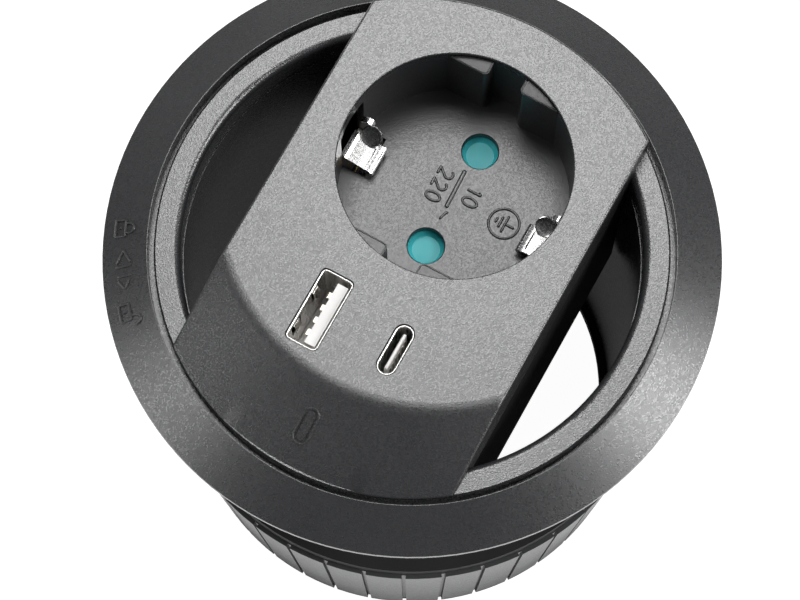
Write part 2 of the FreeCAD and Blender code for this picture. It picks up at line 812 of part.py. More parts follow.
def make_socket_cup():
    """Round recess for the plug: guide blocks, pin holes and windows for the earth clips."""
    blank = rod("cup_blank", cup_radius, (cup_bottom, deck_under), 0, recess_y)
    bore = rod("cup_bore", s.recess_radius, (cup_floor_top, deck_under + OVER), 0, recess_y)
    guide_top = s.face_height - s.guide_drop
    inside = fuse("guide_limit",
                  rod("guide_limit_low", cup_radius, (cup_floor_top, deck_under), 0, recess_y),
                  rod("guide_limit_high", s.recess_radius - s.port_gap, (deck_under, s.face_height),
                      0, recess_y))

    def is_guide_edge(edge, middle):
        return is_upright(edge) and abs(abs(middle.y - number(recess_y)) - number(s.guide_flat)) < NEAR

    guides = []
    for end in (-1, 1):
        near = recess_y + s.guide_flat * end
        far = recess_y + (s.recess_radius + s.cup_wall / 2) * end
        corners = [(near, cup_floor_top), (far, cup_floor_top), (far, guide_top),
                   (near, guide_top - s.guide_slope)]
        for side, start in (("left", -s.guide_reach), ("right", s.guide_gap / 2)):
            name = "guide_%s_%s" % (side, "far" if end > 0 else "near")
            block = plate(name + "_block", "YZ_Plane", corners, start, s.guide_reach - s.guide_gap / 2)
            softened = rounded(name + "_softened", block, s.guide_round, is_guide_edge)
            guides.append(common(name, softened, inside))
    cup = fuse("cup_with_guides", cut("cup_shell", blank, bore), *guides)
    holes = []
    for name, y in (("far", far_pin_y), ("near", near_pin_y)):
        holes.append(rod("pin_hole_" + name, s.pin_hole_radius, (cup_bottom - OVER, cup_floor_top + OVER),
                         0, y))
        holes.append(cone("pin_lead_" + name, s.pin_hole_radius, s.pin_hole_radius + s.pin_hole_lead,
                          (cup_floor_top - s.pin_hole_lead, cup_floor_top), 0, y))
    half_window = s.window_width / 2
    for side in (-1, 1):
        limits = sorted((s.window_inner * side, (cup_radius + OVER) * side), key=number)
        holes.append(box("clip_window_%d" % (side + 1), limits,
                         (recess_y - half_window, recess_y + half_window),
                         (cup_bottom - OVER, s.window_top)))
    return cut("socket_cup", cup, *holes)


def make_pin_shutter():
    """Turning disc: its wells close the pin holes and its open holes let the pins through."""
    blank = rod("shutter_blank", s.shutter_radius, (shutter_bottom, shutter_top))
    tools = [rod("shutter_bore", s.pivot_radius + s.pivot_gap, (shutter_bottom - OVER, shutter_top + OVER)),
             rod("shutter_spring_pocket", s.spring_pocket_radius,
                 (shutter_bottom - OVER, shutter_bottom + s.spring_pocket_depth))]
    through = (shutter_bottom - OVER, shutter_top + OVER)
    for end in (-1, 1):
        tools.append(cone("well_%d" % (end + 1), s.well_foot_radius, s.pin_hole_radius,
                          (shutter_top - s.well_depth, shutter_top), 0, half_pin_spacing * end))
        hole = rod("shutter_hole_%d" % (end + 1), s.pin_hole_radius, through, 0, half_pin_spacing * end)
        holder = group("shutter_hole_turned_%d" % (end + 1), hole)
        tools.append(put(holder, turn=-SIZES["shutter_turn"]))
    disc = cut("shutter_disc", blank, *tools)
    shutter = group("pin_shutter", disc)
    return put(shutter, 0, recess_y)


def make_shutter_spring():
    """Small coil of square wire round the shutter's pivot that turns the shutter back."""
    body = doc.addObject("PartDesign::Body", "spring_coil")
    inner = s.spring_radius - s.spring_wire / 2
    outer = s.spring_radius + s.spring_wire / 2
    threaded(body, "spring_turns", [(inner, 0), (outer, 0), (outer, s.spring_wire), (inner, s.spring_wire)],
             s.spring_pitch, s.spring_turns)
    spring = group("shutter_spring", body)
    return put(spring, 0, recess_y, carrier_top)


def make_contact_carrier():
    """Insulating base that holds the contacts, the shutter's pivot and the clips' slots."""
    y = recess_y
    base = rod("carrier_base", carrier_radius, (s.carrier_bottom, carrier_top), 0, y)
    pivot = rod("shutter_pivot", s.pivot_radius, (carrier_top, shutter_top), 0, y)
    tools = []
    half_width = s.pocket_width / 2
    half_length = s.pocket_length / 2
    for name, pin_y in (("far", far_pin_y), ("near", near_pin_y)):
        tools.append(box("pocket_" + name, (-half_width, half_width),
                         (pin_y - half_length, pin_y + half_length), (s.carrier_bottom - OVER, carrier_top)))
    bus_low = s.carrier_bottom - OVER
    bus_high = s.leaf_base + s.leaf_thickness / 2 + s.bus_gap
    outer = s.bus_inner + s.bus_width + s.bus_gap
    half_leaf = s.leaf_width / 2 + s.bus_gap
    tools.append(box("bus_way_far", (-outer, -s.bus_inner + s.bus_gap),
                     (bus_end, far_pin_y + half_leaf), (bus_low, bus_high)))
    tools.append(box("bus_way_far_link", (-outer, -half_width + SKIN),
                     (far_pin_y - half_leaf, far_pin_y + half_leaf), (bus_low, bus_high)))
    tools.append(box("bus_way_near", (s.bus_inner - s.bus_gap, outer),
                     (bus_end, near_pin_y + half_leaf), (bus_low, bus_high)))
    tools.append(box("bus_way_near_link", (half_width - SKIN, outer),
                     (near_pin_y - half_leaf, near_pin_y + half_leaf), (bus_low, bus_high)))
    half_window = s.window_width / 2
    slot_outer = s.clip_line + s.clip_thickness / 2 + s.clip_seat_gap + s.strap_thickness + s.bus_gap
    for side in (-1, 1):
        limits = sorted((s.window_inner * side, slot_outer * side), key=number)
        tools.append(box("carrier_slot_%d" % (side + 1), limits, (y - half_window, y + half_window),
                         (s.carrier_bottom - OVER, carrier_top + SKIN)))
    return cut("contact_carrier", fuse("carrier_blank", base, pivot), *tools)


def make_shutter_ring():
    """Ring round the shutter that holds the cup and the carrier apart."""
    z = (carrier_top, cup_bottom)
    return cut("shutter_ring",
               rod("ring_outer", carrier_radius, z, 0, recess_y),
               rod("ring_inner", carrier_radius - s.shutter_ring_wall, z, 0, recess_y))


def make_contact(name, side, pin_y):
    """Sprung brass fork for one pin, with a bus strip that runs to the terminals."""
    half = s.leaf_thickness / 2
    leaf = bent_strip(name + "_fork", [
        (-s.leaf_mouth, s.leaf_top),
        (-s.leaf_grip, s.leaf_throat),
        (-s.leaf_heel, s.leaf_base),
        (s.leaf_heel, s.leaf_base),
        (s.leaf_grip, s.leaf_throat),
        (s.leaf_mouth, s.leaf_top),
    ], s.leaf_width, s.leaf_thickness)
    fork = put(group(name + "_fork_placed", leaf), 0, pin_y)
    z = (s.leaf_base - half, s.leaf_base + half)
    outer = s.bus_inner + s.bus_width
    link_x = sorted((s.leaf_heel * side, outer * side), key=number)
    run_x = sorted((s.bus_inner * side, outer * side), key=number)
    half_leaf = s.leaf_width / 2
    link = box(name + "_link", link_x, (pin_y - half_leaf, pin_y + half_leaf), z)
    run = box(name + "_run", run_x, (bus_end, pin_y - half_leaf + SKIN), z)
    return fuse(name, fork, link, run)


def make_earth_strap():
    """Brass strap under the carrier that joins both earth clips and the earth terminal."""
    y = recess_y
    z = (s.carrier_bottom - s.strap_thickness, s.carrier_bottom)
    leg_inner = s.clip_line + s.clip_thickness / 2 + s.clip_seat_gap
    leg_outer = leg_inner + s.strap_thickness
    half = s.strap_width / 2
    beam = box("strap_beam", (-leg_outer, leg_outer), (y - half, y + half), z)
    legs = []
    for side in (-1, 1):
        limits = sorted((leg_inner * side, leg_outer * side), key=number)
        legs.append(box("strap_leg_%d" % (side + 1), limits, (y - half, y + half),
                        (z[0], s.strap_leg_top)))
    tail_half = s.strap_tail_width / 2
    tail = box("strap_tail", (-tail_half, tail_half), (bus_end, y), z)
    return fuse("earth_strap", beam, tail, *legs)


def make_earth_clips():
    """Sprung clips that press on the plug's earth strips, one each side of the recess."""
    strip = bent_strip("clip_strip", [
        (s.clip_line, s.clip_foot),
        (s.clip_line, s.clip_bend),
        (s.clip_contact, s.clip_contact_low),
        (s.clip_contact, s.clip_contact_high),
        (s.clip_lead, s.clip_lead_top),
    ], s.clip_width, s.clip_thickness)
    right = put(group("earth_clip_right", strip), 0, recess_y)
    left = flipped("earth_clip_left", right)
    return [right, left]


def make_port_a():
    """Rectangular charging port: shell, tongue on its insulating block, and contact strips."""
    x, y = s.port_a_x, s.ports_y
    half_width = s.port_a_width / 2
    half_length = s.port_a_length / 2
    wall = s.port_a_wall
    low = s.port_board_top
    across = (x - half_width + wall, x + half_width - wall)
    along = (y - half_length + wall, y + half_length - wall)
    inner_round = s.port_a_round - wall
    shell = cut("usb_a_shell",
                rounded_block("shell_a_outer", (x - half_width, x + half_width),
                              (y - half_length, y + half_length), (low, port_top), s.port_a_round),
                rounded_block("shell_a_inner", across, along, (low + wall, port_top + OVER), inner_round))
    tongue_x = x + s.tongue_a_offset
    half_tongue = s.tongue_a_thickness / 2
    tongue_top = s.face_height - s.tongue_a_sink
    base_top = low + wall + s.tongue_a_base
    tongue = fuse("usb_a_tongue",
                  box("tongue_a_plate", (tongue_x - half_tongue, tongue_x + half_tongue),
                      (y - s.tongue_a_width / 2, y + s.tongue_a_width / 2), (low + wall, tongue_top)),
                  rounded_block("tongue_a_block", across, along, (low + wall, base_top), inner_round))
    strips = []
    count = int(SIZES["strip_a_count"])
    for place in range(count):
        strip_y = y + s.strip_a_pitch * (place - (count - 1) / 2)
        strips.append(box("strip_a_%d" % place,
                          (tongue_x - half_tongue - s.strip_height, tongue_x - half_tongue),
                          (strip_y - s.strip_a_width / 2, strip_y + s.strip_a_width / 2),
                          (base_top, tongue_top - s.strip_a_width)))
    return [shell, tongue, group("usb_a_contacts", *strips)]


def make_port_c():
    """Round-ended charging port: shell, thin tongue and contact strips on both its faces."""
    x, y = s.port_c_x, s.ports_y
    wall = s.port_c_wall
    low = s.port_board_top
    shell = cut("usb_c_shell",
                stadium("shell_c_outer", x, y, s.port_c_width, s.port_c_length, (low, port_top)),
                stadium("shell_c_inner", x, y, s.port_c_width - wall * 2, s.port_c_length - wall * 2,
                        (low + wall, port_top + OVER)))
    half_tongue = s.tongue_c_thickness / 2
    tongue_top = s.face_height - s.tongue_c_sink
    tongue = box("usb_c_tongue", (x - half_tongue, x + half_tongue),
                 (y - s.tongue_c_width / 2, y + s.tongue_c_width / 2), (low + wall, tongue_top))
    strips = []
    count = int(SIZES["strip_c_count"])
    for side in (-1, 1):
        face = x + half_tongue * side
        limits = sorted((face, face + s.strip_c_height * side), key=number)
        for place in range(count):
            strip_y = y + s.strip_c_pitch * (place - (count - 1) / 2)
            strips.append(box("strip_c_%d_%d" % (side + 1, place), limits,
                              (strip_y - s.strip_c_width / 2, strip_y + s.strip_c_width / 2),
                              (low + wall, tongue_top - s.strip_c_width)))
    return [shell, tongue, group("usb_c_contacts", *strips)]


def make_boards():
    """Port board above, charger board below, with standoffs between them."""
    half = s.port_board_half_width
    boards = []
    for name, top in (("port_board", s.port_board_top), ("charger_board", s.charger_board_top)):
        z = (top - s.board_thickness, top)
        slab = box(name + "_slab", (-half, half), (s.board_front, s.board_back), z)
        round_end = rod(name + "_round", cavity_radius - s.bus_gap, z)
        notches = [rod("%s_notch_%d" % (name, place), s.boss_radius + s.bus_gap, z, x, y)
                   for place, (x, y) in enumerate(boss_places())]
        notches.append(rod(name + "_cup_notch", cup_radius + s.board_gap, z, 0, recess_y))
        boards.append(cut(name, common(name + "_blank", slab, round_end), *notches))
    standoffs = [rod("standoff_%d" % place, s.standoff_radius, (s.charger_board_top, port_board_under), x, y)
                 for place, (x, y) in enumerate(standoff_places())]
    chip_half = s.chip_size / 2
    chip = box("charge_controller", (-chip_half, chip_half), (s.ports_y - chip_half, s.ports_y + chip_half),
               (s.port_board_top, s.port_board_top + s.chip_height))
    return boards + [group("board_standoffs", *standoffs), chip]


def make_transformer():
    """Ferrite core with three legs, and the taped winding round its middle leg."""
    x, y = s.core_x, s.core_y
    low = s.charger_board_top
    high = low + s.core_height
    half_length = s.core_length / 2
    half_width = s.core_width / 2
    half_leg = s.core_leg / 2
    block = box("core_block", (x - half_length, x + half_length), (y - half_width, y + half_width),
                (low, high))
    window_z = (low + half_leg, high - half_leg)
    windows = [box("core_window_%d" % (side + 1),
                   sorted((x + half_leg * side, x + (half_length - half_leg) * side), key=number),
                   (y - half_width - OVER, y + half_width + OVER), window_z) for side in (-1, 1)]
    core = cut("transformer_core", block, *windows)
    gap = s.winding_gap
    turns_outer = box("winding_outer", (x - half_length + half_leg + gap, x + half_length - half_leg - gap),
                      (y - half_width + gap, y + half_width - gap), (window_z[0] + gap, window_z[1] - gap))
    turns_inner = box("winding_inner", (x - half_leg - gap, x + half_leg + gap),
                      (y - half_width - OVER, y + half_width + OVER), window_z)
    side_blocks = cut("transformer_winding", turns_outer, turns_inner)
    return [core, side_blocks]


def make_charger_parts():
    """Capacitors, filter coil and fuse on the charger board."""
    low = s.charger_board_top
    capacitors = [rod("capacitor_%d" % place, s.capacitor_radius, (low, low + s.capacitor_height),
                      s.capacitor_x, s.core_y + s.capacitor_pitch * (place - 0.5)) for place in range(2)]
    ring = doc.addObject("Part::Torus", "coil_ring")
    bind(ring, "Radius1", s.coil_radius)
    bind(ring, "Radius2", s.coil_wire)
    put(ring, s.coil_x, s.core_y, low + s.coil_wire)
    fuse_body = rod("fuse_can", s.fuse_radius, (low, low + s.fuse_height), s.fuse_x, s.fuse_y)
    return [group("capacitors", *capacitors), group("filter_coil", ring), group("board_fuse", fuse_body)]


def make_terminals():
    """Three-pole terminal block with its clamp screws, and the cable entry in the case's floor."""
    half_width = s.block_width / 2
    half_depth = s.block_depth / 2
    y = block_y
    low = case_inside
    high = low + s.block_height
    block = box("terminal_blank", (-half_width, half_width), (y - half_depth, y + half_depth), (low, high))
    tools = []
    screws = []
    for place in range(3):
        x = s.terminal_pitch * (place - 1)
        hole_radius = s.terminal_screw_radius + s.pilot_gap
        tools.append(rod("terminal_hole_%d" % place, hole_radius,
                         (high - s.terminal_screw_length, high + OVER), x, y))
        screws.append(rod("terminal_screw_%d" % place, s.terminal_screw_radius,
                          (high - s.terminal_screw_length, high - s.pilot_gap), x, y))
    for side in (-1, 1):
        limits = sorted(((s.bus_inner - s.bus_gap) * side, (s.bus_inner + s.bus_width + s.bus_gap) * side),
                        key=number)
        tools.append(box("bus_entry_%d" % (side + 1), limits, (bus_end - SKIN, y + half_depth + OVER),
                         (s.carrier_bottom, s.leaf_base + s.leaf_thickness + s.bus_gap)))
    tail_half = s.strap_tail_width / 2 + s.bus_gap
    tools.append(box("earth_entry", (-tail_half, tail_half), (bus_end - SKIN, y + half_depth + OVER),
                     (low - SKIN, s.carrier_bottom + s.bus_gap)))
    gland_top = case_inside + s.gland_flange_height
    gland_low = gland_top - s.gland_length
    gland = cut("cable_gland",
                fuse("gland_blank",
                     rod("gland_barrel", s.gland_radius, (gland_low, case_inside), 0, gland_y),
                     rod("gland_head", s.gland_flange, (case_inside, gland_top), 0, gland_y)),
                rod("gland_way", s.gland_bore, (gland_low - OVER, gland_top + OVER), 0, gland_y))
    return [cut("terminal_block", block, *tools), group("terminal_screws", *screws), gland]


def build():
    """Make every piece and give them back in order."""
    pieces = [make_desk_sleeve(), make_clamp_nut(), make_clamp_washer()]
    pieces += [make_insert_cover(), make_module_case(), make_case_screws()]
    pieces += [make_socket_cup(), make_pin_shutter(), make_shutter_spring(), make_contact_carrier()]
    pieces += [make_shutter_ring()]
    pieces += [make_contact("line_contact", -1, far_pin_y), make_contact("neutral_contact", 1, near_pin_y)]
    pieces += [make_earth_strap()] + make_earth_clips()
    pieces += make_port_a() + make_port_c() + make_boards()
    pieces += make_transformer() + make_charger_parts() + make_terminals()
    return pieces


def export(pieces):
    """Check the whole document, then write one STEP file per piece."""
    doc.recompute()
    faulty = [item.Name for item in doc.Objects if "Invalid" in item.State or "Error" in item.State]
    if faulty:
        raise RuntimeError("failed features: " + ", ".join(faulty))
    os.makedirs("parts", exist_ok=True)
    for piece in pieces:
        shape = piece.Shape
        if shape.isNull() or not shape.isValid() or not shape.Solids:
            raise RuntimeError("bad solid: " + piece.Label)
    for piece in pieces:
        piece.Shape.exportStep(os.path.join("parts", piece.Label + ".step"))
        print("%-22s %2d solids %10.1f mm3" % (piece.Label, len(piece.Shape.Solids), piece.Shape.Volume))


export(build())
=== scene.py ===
import json
import math

import bpy
import numpy as np
from mathutils import Matrix, Vector


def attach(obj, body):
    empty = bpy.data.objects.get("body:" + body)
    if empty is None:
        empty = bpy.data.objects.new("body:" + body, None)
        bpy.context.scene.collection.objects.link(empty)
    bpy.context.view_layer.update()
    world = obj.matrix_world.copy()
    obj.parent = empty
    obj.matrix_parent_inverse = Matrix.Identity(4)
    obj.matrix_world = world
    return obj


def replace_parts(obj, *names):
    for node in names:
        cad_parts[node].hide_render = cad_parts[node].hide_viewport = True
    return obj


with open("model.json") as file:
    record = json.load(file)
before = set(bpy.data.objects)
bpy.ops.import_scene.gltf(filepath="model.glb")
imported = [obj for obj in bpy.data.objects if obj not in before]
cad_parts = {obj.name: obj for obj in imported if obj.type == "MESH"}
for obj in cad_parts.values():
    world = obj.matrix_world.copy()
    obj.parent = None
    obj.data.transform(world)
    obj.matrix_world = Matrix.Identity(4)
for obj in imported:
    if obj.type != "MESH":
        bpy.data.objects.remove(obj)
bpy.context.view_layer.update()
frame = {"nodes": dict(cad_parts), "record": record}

# Round desk socket insert with a turning bridge, an earthed socket and two charging ports.
# The lengths below are in millimetres and become metres as each mesh is made.

MM = 0.001
nodes = frame["nodes"]

# The object's own sizes that the new pieces are built on
FLANGE_OUTER = 50.5
FLANGE_EDGE = 1.0
FLANGE_CREST = 43.0
FLANGE_TOP = 4.5
SIGN_RADIUS = 46.9
FACE_TOP = 8.2
SLOPE_CENTRE = 8.8
SLOPE_START = 36.0
SLOPE_FALL = 4.3 / 14.1
MARK_Y = -34.8
RECESS_Y = 14.3
RECESS_RADIUS = 19.5
RECESS_FLOOR = -8.8
GUIDE_FLAT = 16.6
GUIDE_LOW = 6.7
GUIDE_RISE = 0.5 / 3.6
PORTS_Y = -17.5
PORT_TOP = 7.9
PORT_A_X = -7.2
PORT_C_X = 6.6
TONGUE_A_FACE = PORT_A_X + 0.25
CONTACT_A_PITCH = 2.3
CONTACT_C_PITCH = 1.0
SLEEVE_FOOT = -0.085


# ---------------------------------------------------------------- surfaces worked out on grids

def grid_faces(rows, columns, closes_rows=False, closes_columns=False):
    """Quads of a grid counted row by row: each joins a point with the next in its row and the two
    above, and a closed direction joins its last line of points with its first."""
    along = np.arange(rows if closes_rows else rows - 1)
    across = np.arange(columns if closes_columns else columns - 1)
    row, column = np.meshgrid(along, across, indexing="ij")
    next_row = (row + 1) % rows
    next_column = (column + 1) % columns
    corners = [row * columns + column, row * columns + next_column,
               next_row * columns + next_column, next_row * columns + column]
    return np.stack(corners, axis=-1).reshape(-1, 4)


def joined(parts):
    """Points and faces of several surfaces as one pair, each part's faces counted on from the last."""
    points, faces, start = [], [], 0
    for part_points, part_faces in parts:
        points.append(part_points.reshape(-1, 3))
        faces.append(part_faces + start)
        start += len(points[-1])
    return np.concatenate(points), np.concatenate(faces)


def surface_piece(name, points, faces, material, body, slot, bend_angle=40):
    """A mesh object from points in millimetres: doubles merged, faces turned outward, smooth up to
    the stated angle, riding on a body of the frame."""
    import bmesh
    mesh = bpy.data.meshes.new(name)
    mesh.from_pydata((points.reshape(-1, 3) * MM).tolist(), [], faces.tolist())
    work = bmesh.new()
    work.from_mesh(mesh)
    bmesh.ops.remove_doubles(work, verts=work.verts, dist=1e-7)
    bmesh.ops.dissolve_degenerate(work, edges=work.edges, dist=1e-8)
    bmesh.ops.recalc_face_normals(work, faces=work.faces)
    work.to_mesh(mesh)
    work.free()
    mesh.materials.append(material)
    piece = bpy.data.objects.new(name, mesh)
    bpy.context.scene.collection.objects.link(piece)
    mesh.shade_smooth()
    mesh.set_sharp_from_angle(angle=math.radians(bend_angle))
    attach(piece, body)
    return piece


def rounded_loop(length, width, radius, count=96):
    """Points of a rectangle with round corners, long side along Y: each point is the nearest corner
    centre plus the radius in the point's direction, spaced evenly round the loop."""
    turn = np.linspace(0, 2 * math.pi, count, endpoint=False) + math.pi / count
    direction = np.stack([np.cos(turn), np.sin(turn)], axis=1)
    centre = np.sign(direction) * [width / 2 - radius, length / 2 - radius]
    loop = centre + direction * radius
    closed = np.vstack([loop, loop[:1]])
    steps = np.r_[0, np.cumsum(np.hypot(*np.diff(closed, axis=0).T))]
    even = np.linspace(0, steps[-1], count, endpoint=False)
    return np.stack([np.interp(even, steps, closed[:, axis]) for axis in (0, 1)], axis=1)


def resampled(line, step):
    """A line of points with new points at an even step along it, its ends kept."""
    line = np.asarray(line, float)
    steps = np.r_[0, np.cumsum(np.linalg.norm(np.diff(line, axis=0), axis=1))]
    even = np.linspace(0, steps[-1], max(int(steps[-1] / step) + 1, 3))
    return np.stack([np.interp(even, steps, line[:, axis]) for axis in range(line.shape[1])], axis=1)


def ridge(line, place, width, height, is_closed=False):
    """A raised line: a low rounded section carried along the line, where each point's distance off the
    line and height above the surface go through the surface's own placing function; open ends
    narrow and sink to a point."""
    line = resampled(line, 0.12)
    if is_closed:
        line = line[:-1]
        before, after = np.roll(line, 1, axis=0), np.roll(line, -1, axis=0)
    else:
        before, after = np.vstack([line[:1], line[:-1]]), np.vstack([line[1:], line[-1:]])
    along = after - before
    along /= np.linalg.norm(along, axis=1)[:, None]
    aside = np.stack([-along[:, 1], along[:, 0]], axis=1)
    section = np.array([(-0.5, -0.35), (-0.46, 0.2), (-0.36, 0.75), (-0.16, 1.0),
                        (0.16, 1.0), (0.36, 0.75), (0.46, 0.2), (0.5, -0.35)])
    full = np.ones(len(line))
    if not is_closed:
        last = len(line) - 1
        near_end = np.minimum(np.arange(len(line)), last - np.arange(len(line)))
        full = np.sqrt(np.clip(near_end / 2.0, 0, 1))
    off = section[:, 0] * width * full[:, None]
    rise = np.where(section[:, 1] > 0, section[:, 1] * full[:, None], section[:, 1]) * height
    across = line[:, None, :] + aside[:, None, :] * off[..., None]
    points = place(across[..., 0], across[..., 1], rise)
    return points, grid_faces(len(line), len(section), closes_rows=is_closed)


def arc(centre, radius, start, end, count=24):
    """Points of a circle's arc between two angles in degrees; the radius may be one number or two."""
    turn = np.radians(np.linspace(start, end, count))
    across, up = (radius, radius) if np.isscalar(radius) else radius
    return np.stack([centre[0] + across * np.cos(turn), centre[1] + up * np.sin(turn)], axis=1)


# ---------------------------------------------------------------- finishes

def new_finish(name):
    """An empty material with its nodes, shader and a helper that adds a node and links it."""
    material = bpy.data.materials.new(name)
    material.use_nodes = True
    tree = material.node_tree
    shader = tree.nodes["Principled BSDF"]
    place = tree.nodes.new("ShaderNodeTexCoord").outputs["Object"]

    def add(kind, links=(), **values):
        node = tree.nodes.new(kind)
        for key, value in values.items():
            if key in node.inputs:
                node.inputs[key].default_value = value
            else:
                setattr(node, key, value)
        for socket, source in dict(links).items():
            tree.links.new(source, node.inputs[socket])
        return node

    return material, tree, shader, place, add


def speckle(add, place, scale, detail=2.0):
    """Noise of a stated scale over the object's own coordinates, as a value round a half."""
    noise = add("ShaderNodeTexNoise", {"Vector": place}, Scale=scale, Detail=detail, Roughness=0.55)
    return noise.outputs["Fac"]


def between(add, value, low, high, start=0.3, end=0.7):
    """A value carried from one range to another, kept inside the second."""
    return add("ShaderNodeMapRange", {"Value": value}, **{
        "From Min": start, "From Max": end, "To Min": low, "To Max": high}).outputs["Result"]


def two_tone(add, value, dark, light):
    """A colour between two tones, by a value from 0 to 1."""
    mix = add("ShaderNodeMix", data_type="RGBA")
    mix.inputs["A"].default_value = (*dark, 1)
    mix.inputs["B"].default_value = (*light, 1)
    mix.id_data.links.new(value, mix.inputs["Factor"])
    return mix.outputs["Result"]


def rubbed_edges(add, reach):
    """How strongly a spot lies on an edge: 1 less the agreement of the true normal with the normal
    smoothed over the stated reach, in millimetres."""
    soft = add("ShaderNodeBevel", samples=4, Radius=reach * MM).outputs["Normal"]
    true = add("ShaderNodeNewGeometry").outputs["Normal"]
    same = add("ShaderNodeVectorMath", operation="DOT_PRODUCT")
    same.id_data.links.new(soft, same.inputs[0])
    same.id_data.links.new(true, same.inputs[1])
    return between(add, same.outputs["Value"], 1.0, 0.0, 0.75, 0.99)


def satin_plastic(name, dark, light, roughness, grain=4600, relief=0.13, edge=0.25, gloss=1.0):
    """Moulded plastic: a spark-eroded grain as cells of their own roughness and height, faint flow marks
    and slightly rubbed edges."""
    material, tree, shader, place, add = new_finish(name)
    pits = add("ShaderNodeTexVoronoi", {"Vector": place}, Scale=grain)
    grains = pits.outputs["Distance"]
    flow = speckle(add, place, 55, 2.0)
    rub = rubbed_edges(add, edge)
    tone = two_tone(add, between(add, flow, 0.0, 1.0), dark, light)
    worn = add("ShaderNodeMix", data_type="RGBA")
    worn.inputs["B"].default_value = (*[min(1.0, v * 2.2 + 0.02) for v in light], 1)
    tree.links.new(tone, worn.inputs["A"])
    part_worn = add("ShaderNodeMath", operation="MULTIPLY")
    tree.links.new(rub, part_worn.inputs[0])
    tree.links.new(between(add, speckle(add, place, 240), 0.04, 0.24), part_worn.inputs[1])
    tree.links.new(part_worn.outputs["Value"], worn.inputs["Factor"])
    tree.links.new(worn.outputs["Result"], shader.inputs["Base Color"])
    fine = between(add, pits.outputs["Color"], roughness - 0.05, roughness + 0.06, 0.2, 0.8)
    tree.links.new(fine, shader.inputs["Roughness"])
    shader.inputs["Specular IOR Level"].default_value = gloss
    bump = add("ShaderNodeBump", {"Height": grains}, Strength=relief, Distance=0.0002)
    tree.links.new(bump.outputs["Normal"], shader.inputs["Normal"])
    return material


def smooth_plastic(name, dark, light, roughness, gloss=0.5):
    """Smooth moulding, such as a shutter or a tongue, with faint flow marks and a soft sheen."""
    material, tree, shader, place, add = new_finish(name)
    flow = speckle(add, place, 130, 3.0)
    tree.links.new(two_tone(add, between(add, flow, 0.0, 1.0), dark, light), shader.inputs["Base Color"])
    tree.links.new(between(add, speckle(add, place, 420), roughness - 0.04, roughness + 0.06),
                   shader.inputs["Roughness"])
    shader.inputs["Specular IOR Level"].default_value = gloss
    bump = add("ShaderNodeBump", {"Height": speckle(add, place, 900)}, Strength=0.12, Distance=0.00008)
    tree.links.new(bump.outputs["Normal"], shader.inputs["Normal"])
    return material


def sheet_metal(name, dark, light, roughness, relief=0.15):
    """Bright strip or shell: fine upright rolling lines, faint stains and polished edges."""
    material, tree, shader, place, add = new_finish(name)
    lines = add("ShaderNodeMapping", {"Vector": place})
    lines.inputs["Scale"].default_value = (1, 1, 1 / 12)
    rolled = speckle(add, lines.outputs["Vector"], 3600, 2.0)
    stain = speckle(add, place, 260, 4.0)
    rub = rubbed_edges(add, 0.15)
    tone = add("ShaderNodeMix", data_type="RGBA")
    tree.links.new(two_tone(add, between(add, stain, 0.0, 1.0), dark, light), tone.inputs["A"])
    tone.inputs["B"].default_value = (*[min(1.0, v * 1.12) for v in light], 1)
    tree.links.new(rub, tone.inputs["Factor"])
    tree.links.new(tone.outputs["Result"], shader.inputs["Base Color"])
    shader.inputs["Metallic"].default_value = 1.0
    tree.links.new(between(add, rolled, roughness - 0.06, roughness + 0.08), shader.inputs["Roughness"])
    bump = add("ShaderNodeBump", {"Height": rolled}, Strength=relief, Distance=0.00005)
    tree.links.new(bump.outputs["Normal"], shader.inputs["Normal"])
    return material


def soft_rubber(name, dark, light):
    """Matt rubber with a fine grain and a dusty bloom."""
    material, tree, shader, place, add = new_finish(name)
    bloom = speckle(add, place, 90, 4.0)
    tree.links.new(two_tone(add, between(add, bloom, 0.0, 1.0), dark, light), shader.inputs["Base Color"])
    tree.links.new(between(add, bloom, 0.72, 0.9), shader.inputs["Roughness"])
    shader.inputs["Specular IOR Level"].default_value = 0.3
    bump = add("ShaderNodeBump", {"Height": speckle(add, place, 1500, 3.0)}, Strength=0.3, Distance=0.0001)
    tree.links.new(bump.outputs["Normal"], shader.inputs["Normal"])
    return material


def lacquered_board(name):
    """Green board: tracks show through the lacquer as slightly lighter runs."""
    material, tree, shader, place, add = new_finish(name)
    cells = add("ShaderNodeTexBrick", {"Vector": place}, Scale=260.0)
    cells.inputs["Color1"].default_value = (0.012, 0.085, 0.035, 1)
    cells.inputs["Color2"].default_value = (0.015, 0.11, 0.045, 1)
    cells.inputs["Mortar"].default_value = (0.03, 0.17, 0.07, 1)
    cells.inputs["Mortar Size"].default_value = 0.03
    tree.links.new(cells.outputs["Color"], shader.inputs["Base Color"])
    tree.links.new(between(add, speckle(add, place, 500), 0.25, 0.4), shader.inputs["Roughness"])
    bump = add("ShaderNodeBump", {"Height": cells.outputs["Fac"]}, Strength=0.2, Distance=0.00005)
    bump.invert = True
    tree.links.new(bump.outputs["Normal"], shader.inputs["Normal"])
    return material


def wound_wire(name, dark, light, pitch, roughness=0.3, metallic=0.8):
    """Close turns of wire or tape round an upright bobbin, as a wave of height with the stated pitch; the
    colour follows the same wave, darker in the grooves between turns, which is painted shade.
    """
    material, tree, shader, place, add = new_finish(name)
    waves = add("ShaderNodeTexWave", {"Vector": place}, bands_direction="Z", Scale=1000 / pitch / 20,
                Distortion=0.6, Detail=1.0)
    # painted shade: the colour goes dark in the grooves between turns and light on their crests
    tree.links.new(two_tone(add, waves.outputs["Fac"], dark, light), shader.inputs["Base Color"])
    shader.inputs["Metallic"].default_value = metallic
    tree.links.new(between(add, speckle(add, place, 700), roughness - 0.05, roughness + 0.1),
                   shader.inputs["Roughness"])
    bump = add("ShaderNodeBump", {"Height": waves.outputs["Fac"]}, Strength=0.6, Distance=0.0001)
    tree.links.new(bump.outputs["Normal"], shader.inputs["Normal"])
    return material


